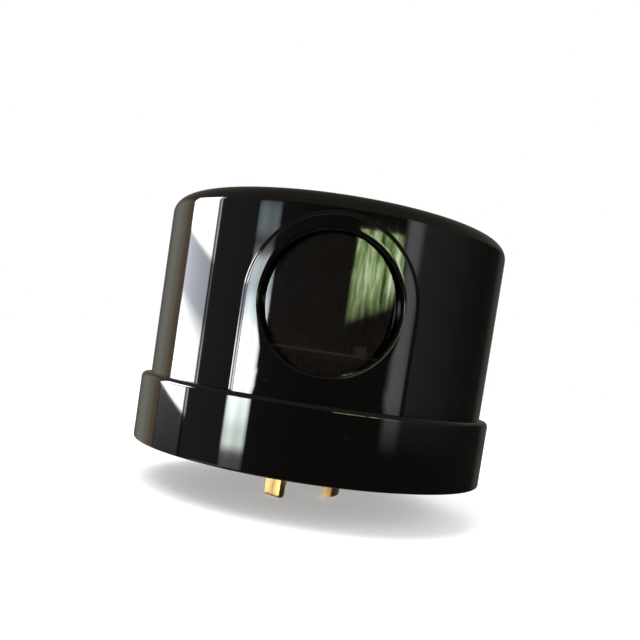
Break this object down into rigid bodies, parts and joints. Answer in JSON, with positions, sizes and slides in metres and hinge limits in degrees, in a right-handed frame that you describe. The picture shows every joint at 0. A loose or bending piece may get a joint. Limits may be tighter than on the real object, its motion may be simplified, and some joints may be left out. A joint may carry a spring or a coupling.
{
  "type": "photocontrol",
  "caption": "Twist-lock photocontrol: a round glossy cap with a smoked window in an arched boss, over a plug base with curved brass blades and a relay circuit.",
  "frame": {"origin": "on the plug's axis, in the plane of the gasket's sealing face", "axes": "+Z along the plug's axis up through the cap's roof, -Y out through the window, +X towards the neutral blade"},
  "size_m": [0.084, 0.084, 0.0664],
  "materials": {
    "cap_plastic": "high gloss black",
    "smoked_lens": "smoked clear plastic, polished",
    "seal_rubber": "matt",
    "silicone": "satin silicone",
    "base_plastic": "moulded phenolic, satin",
    "gasket_foam": "closed-cell foam",
    "screw_steel": "zinc plated",
    "blade_brass": "stamped, lightly polished",
    "strap_copper": "rolled strip",
    "board_green": "solder mask",
    "relay_black": "moulded",
    "tinned_lead": "tinned",
    "relay_steel": "nickel plated iron",
    "bobbin_white": "moulded",
    "coil_wire": "enamelled copper wire",
    "contact_bronze": "rolled spring strip",
    "contact_silver": "silver alloy",
    "relay_blue": "moulded",
    "sensor_clear": "clear epoxy",
    "film_yellow": "moulded case",
    "sleeve_dark": "shrink sleeve",
    "varistor_blue": "epoxy dip",
    "resistor_grey": "painted ceramic",
    "resistor_blue": "lacquer"
  },
  "bodies": {
    "housing": {"cap": "cap_plastic", "window_lens": "smoked_lens", "lens_seal": "seal_rubber", "cap_seal": "silicone", "base_plate": "base_plastic", "base_gasket": "gasket_foam", "case_screws": "screw_steel", "line_blade": "blade_brass", "load_blade": "blade_brass", "neutral_blade": "blade_brass", "blade_rivets": "blade_brass", "line_strap": "strap_copper", "load_strap": "strap_copper", "neutral_strap": "strap_copper", "circuit_board": "board_green", "board_screws": "screw_steel", "relay_base": "relay_black", "relay_pins": "tinned_lead", "relay_yoke": "relay_steel", "relay_core": "relay_steel", "relay_bobbin": "bobbin_white", "relay_coil": "coil_wire", "fixed_contact": "contact_silver", "contact_terminal": "contact_bronze", "armature_spring": "relay_steel", "relay_cover": "relay_blue", "light_sensor": "sensor_clear", "sensor_holder": "relay_black", "film_capacitor": "film_yellow", "filter_capacitor": "sleeve_dark", "varistor": "varistor_blue", "power_resistor": "resistor_grey", "small_resistors": "resistor_blue", "diodes": "relay_black", "transistor": "relay_black"},
    "armature": {"relay_armature": "relay_steel", "contact_leaf": "contact_bronze", "moving_contact": "contact_silver"}
  },
  "joints": [
    {"name": "armature_hinge", "type": "hinge", "parent": "housing", "child": "armature", "pos_m": [-0.01475, 0.001, 0.04155], "axis": [0, 1, 0], "range_deg": [0, 3.5], "stiffness_Nm_per_rad": 0.008, "springref_deg": -14.32}
  ]
}
